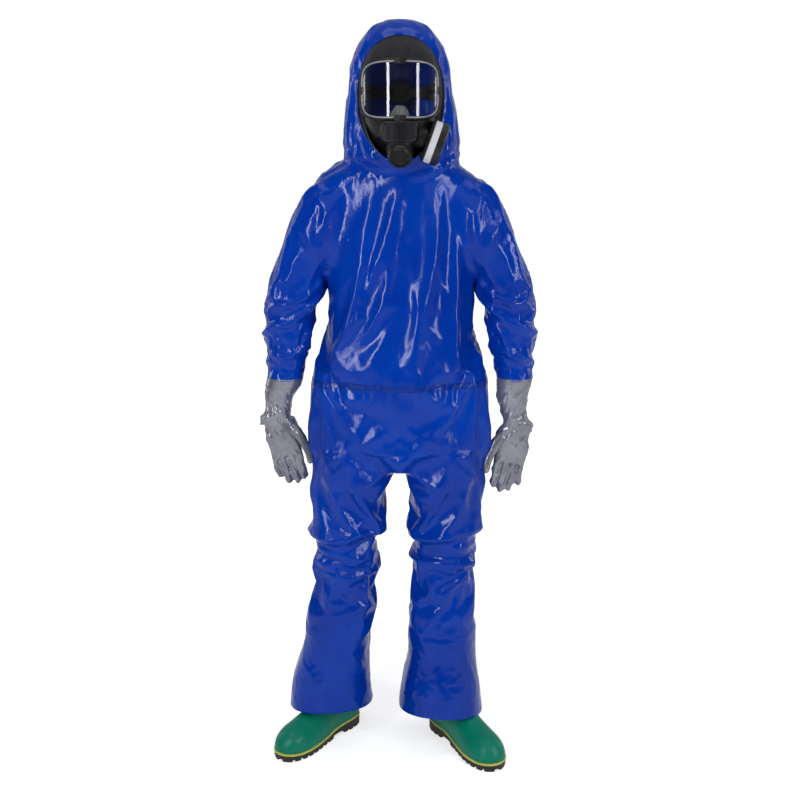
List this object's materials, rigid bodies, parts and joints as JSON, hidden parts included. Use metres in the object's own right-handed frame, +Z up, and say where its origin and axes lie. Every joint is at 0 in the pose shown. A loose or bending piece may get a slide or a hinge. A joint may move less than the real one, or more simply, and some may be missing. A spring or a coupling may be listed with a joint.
{
  "type": "chemical protective suit",
  "caption": "Full-body chemical protective suit standing on its boots: attached hood, bonded laminate gloves, rubber boots and a full-face mask with a side filter.",
  "frame": {"origin": "on the floor, under the middle of the bounding box", "axes": "+Z up, -Y the way the suit faces, +X to the wearer's left"},
  "size_m": [0.7184, 0.3772, 1.8979],
  "materials": {
    "suit_laminate": "glossy blue barrier laminate",
    "seam_tape": "welded tape",
    "glove_laminate": "silver-grey laminate",
    "neoprene": "matte",
    "mask_rubber": "matte",
    "hard_black": "moulded",
    "frame_grey": "moulded",
    "lens_clear": "clear, glossy",
    "nose_cup_silicone": "translucent grey",
    "label": "blank printed band",
    "boot_green": "satin",
    "boot_black": "matte, cleated",
    "boot_yellow": "matte",
    "steel": "satin",
    "zip_plastic": "moulded",
    "strap_rubber": "matte"
  },
  "bodies": {
    "torso": {"torso_shell": "suit_laminate", "trouser_seat": "suit_laminate", "waist_seam_tape": "seam_tape", "zip_tape": "hard_black", "zip_chain": "zip_plastic"},
    "neck": {"neck_section": "suit_laminate"},
    "head": {"hood_shell": "suit_laminate", "face_gasket": "neoprene", "mask_facepiece": "mask_rubber", "mask_lens": "lens_clear", "lens_frame_upper": "frame_grey", "lens_frame_lower": "frame_grey", "lens_clip_upper": "hard_black", "lens_clip_lower": "hard_black", "exhalation_cover": "hard_black", "speech_grille": "hard_black", "speech_diaphragm": "steel", "nose_cup": "nose_cup_silicone", "head_harness": "strap_rubber"},
    "exhalation_valve": {"exhalation_disc": "nose_cup_silicone"},
    "filter": {"filter_canister": "hard_black", "filter_label": "label"},
    "zip_slider": {"zip_slider": "steel"},
    "zip_pull": {"zip_pull": "steel"},
    "upper_arm_right": {"shoulder_section_right": "suit_laminate", "upper_sleeve_right": "suit_laminate"},
    "forearm_right": {"elbow_section_right": "suit_laminate", "lower_sleeve_right": "suit_laminate", "cuff_tape_right": "glove_laminate", "glove_gauntlet_right": "glove_laminate"},
    "hand_right": {"glove_palm_right": "glove_laminate"},
    "fingers_right": {"glove_fingers_right": "glove_laminate"},
    "thumb_right": {"glove_thumb_right": "glove_laminate"},
    "thigh_right": {"hip_section_right": "suit_laminate", "thigh_right": "suit_laminate"},
    "shin_right": {"knee_section_right": "suit_laminate", "lower_leg_right": "suit_laminate", "trouser_hem_right": "suit_laminate", "boot_leg_right": "boot_green"},
    "foot_right": {"boot_foot_right": "boot_green", "boot_welt_right": "boot_yellow", "boot_outsole_right": "boot_black"},
    "upper_arm_left": {"shoulder_section_left": "suit_laminate", "upper_sleeve_left": "suit_laminate"},
    "forearm_left": {"elbow_section_left": "suit_laminate", "lower_sleeve_left": "suit_laminate", "cuff_tape_left": "glove_laminate", "glove_gauntlet_left": "glove_laminate"},
    "hand_left": {"glove_palm_left": "glove_laminate"},
    "fingers_left": {"glove_fingers_left": "glove_laminate"},
    "thumb_left": {"glove_thumb_left": "glove_laminate"},
    "thigh_left": {"hip_section_left": "suit_laminate", "thigh_left": "suit_laminate"},
    "shin_left": {"knee_section_left": "suit_laminate", "lower_leg_left": "suit_laminate", "trouser_hem_left": "suit_laminate", "boot_leg_left": "boot_green"},
    "foot_left": {"boot_foot_left": "boot_green", "boot_welt_left": "boot_yellow", "boot_outsole_left": "boot_black"}
  },
  "joints": [
    {"name": "neck_turn", "type": "hinge", "parent": "torso", "child": "neck", "pos_m": [0.00775, 0.03592, 1.575], "axis": [0, 0, 1], "range_deg": [-30, 30]},
    {"name": "head_nod", "type": "hinge", "parent": "neck", "child": "head", "pos_m": [0.00775, 0.03592, 1.6], "axis": [1, 0, 0], "range_deg": [-12, 5], "deforming": ["neck_section"]},
    {"name": "exhalation_valve_lift", "type": "slide", "parent": "head", "child": "exhalation_valve", "axis": [0, -0.848, -0.5299], "range_m": [0, 0.0025], "stiffness_N_per_m": 20, "springref_m": -0.003},
    {"name": "filter_unscrew", "type": "hinge", "parent": "head", "child": "filter", "pos_m": [0.09175, -0.09608, 1.601], "axis": [0.9404, 0, -0.3401], "range_deg": [0, 720]},
    {"name": "zip_slide", "type": "slide", "parent": "torso", "child": "zip_slider", "axis": [0, 0, -1], "range_m": [0, 0.38]},
    {"name": "zip_pull_swing", "type": "hinge", "parent": "zip_slider", "child": "zip_pull", "pos_m": [0.00775, 0.18613, 1.45], "axis": [1, 0, 0], "range_deg": [0, 150]},
    {"name": "shoulder_right", "type": "hinge", "parent": "torso", "child": "upper_arm_right", "pos_m": [-0.19225, 0.03592, 1.43], "axis": [-1, 0, 0], "range_deg": [-30, 120], "deforming": ["shoulder_section_right"]},
    {"name": "elbow_right", "type": "hinge", "parent": "upper_arm_right", "child": "forearm_right", "pos_m": [-0.27625, 0.02993, 1.19], "axis": [-1, 0, 0], "range_deg": [-10, 110], "deforming": ["elbow_section_right"]},
    {"name": "wrist_right", "type": "hinge", "parent": "forearm_right", "child": "hand_right", "pos_m": [-0.31325, 0.01193, 0.916], "axis": [-0.9781, 0, -0.2079], "range_deg": [-40, 40], "deforming": ["glove_gauntlet_right"]},
    {"name": "fingers_right", "type": "hinge", "parent": "hand_right", "child": "fingers_right", "pos_m": [-0.29038, 0.00893, 0.8084], "axis": [0.9781, 0, 0.2079], "range_deg": [0, 60]},
    {"name": "thumb_right", "type": "hinge", "parent": "hand_right", "child": "thumb_right", "pos_m": [-0.25732, -0.00207, 0.8645], "axis": [0, -1, 0], "range_deg": [0, 30]},
    {"name": "hip_right", "type": "hinge", "parent": "torso", "child": "thigh_right", "pos_m": [-0.11025, 0.02593, 0.87], "axis": [-1, 0, 0], "range_deg": [-15, 75], "deforming": ["hip_section_right"]},
    {"name": "knee_right", "type": "hinge", "parent": "thigh_right", "child": "shin_right", "pos_m": [-0.13525, 0.01993, 0.535], "axis": [1, 0, 0], "range_deg": [0, 100], "deforming": ["knee_section_right"]},
    {"name": "ankle_right", "type": "hinge", "parent": "shin_right", "child": "foot_right", "pos_m": [-0.17108, 0.04686, 0.1], "axis": [-0.7771, 0.6293, 0], "range_deg": [-15, 15], "deforming": ["trouser_hem_right", "boot_leg_right"]},
    {"name": "shoulder_left", "type": "hinge", "parent": "torso", "child": "upper_arm_left", "pos_m": [0.20775, 0.03592, 1.43], "axis": [-1, 0, 0], "range_deg": [-30, 120], "deforming": ["shoulder_section_left"]},
    {"name": "elbow_left", "type": "hinge", "parent": "upper_arm_left", "child": "forearm_left", "pos_m": [0.29175, 0.02993, 1.19], "axis": [-1, 0, 0], "range_deg": [-10, 110], "deforming": ["elbow_section_left"]},
    {"name": "wrist_left", "type": "hinge", "parent": "forearm_left", "child": "hand_left", "pos_m": [0.31075, 0.01193, 0.896], "axis": [-0.9903, 0, 0.1392], "range_deg": [-40, 40], "deforming": ["glove_gauntlet_left"]},
    {"name": "fingers_left", "type": "hinge", "parent": "hand_left", "child": "fingers_left", "pos_m": [0.29544, 0.00893, 0.78707], "axis": [0.9903, 0, -0.1392], "range_deg": [0, 60]},
    {"name": "thumb_left", "type": "hinge", "parent": "hand_left", "child": "thumb_left", "pos_m": [0.25855, -0.00207, 0.84073], "axis": [0, 1, 0], "range_deg": [0, 30]},
    {"name": "hip_left", "type": "hinge", "parent": "torso", "child": "thigh_left", "pos_m": [0.12575, 0.02593, 0.87], "axis": [-1, 0, 0], "range_deg": [-15, 75], "deforming": ["hip_section_left"]},
    {"name": "knee_left", "type": "hinge", "parent": "thigh_left", "child": "shin_left", "pos_m": [0.12375, 0.01993, 0.535], "axis": [1, 0, 0], "range_deg": [0, 100], "deforming": ["knee_section_left"]},
    {"name": "ankle_left", "type": "hinge", "parent": "shin_left", "child": "foot_left", "pos_m": [0.14889, 0.01278, 0.1], "axis": [-0.8572, -0.515, 0], "range_deg": [-15, 15], "deforming": ["trouser_hem_left", "boot_leg_left"]}
  ]
}
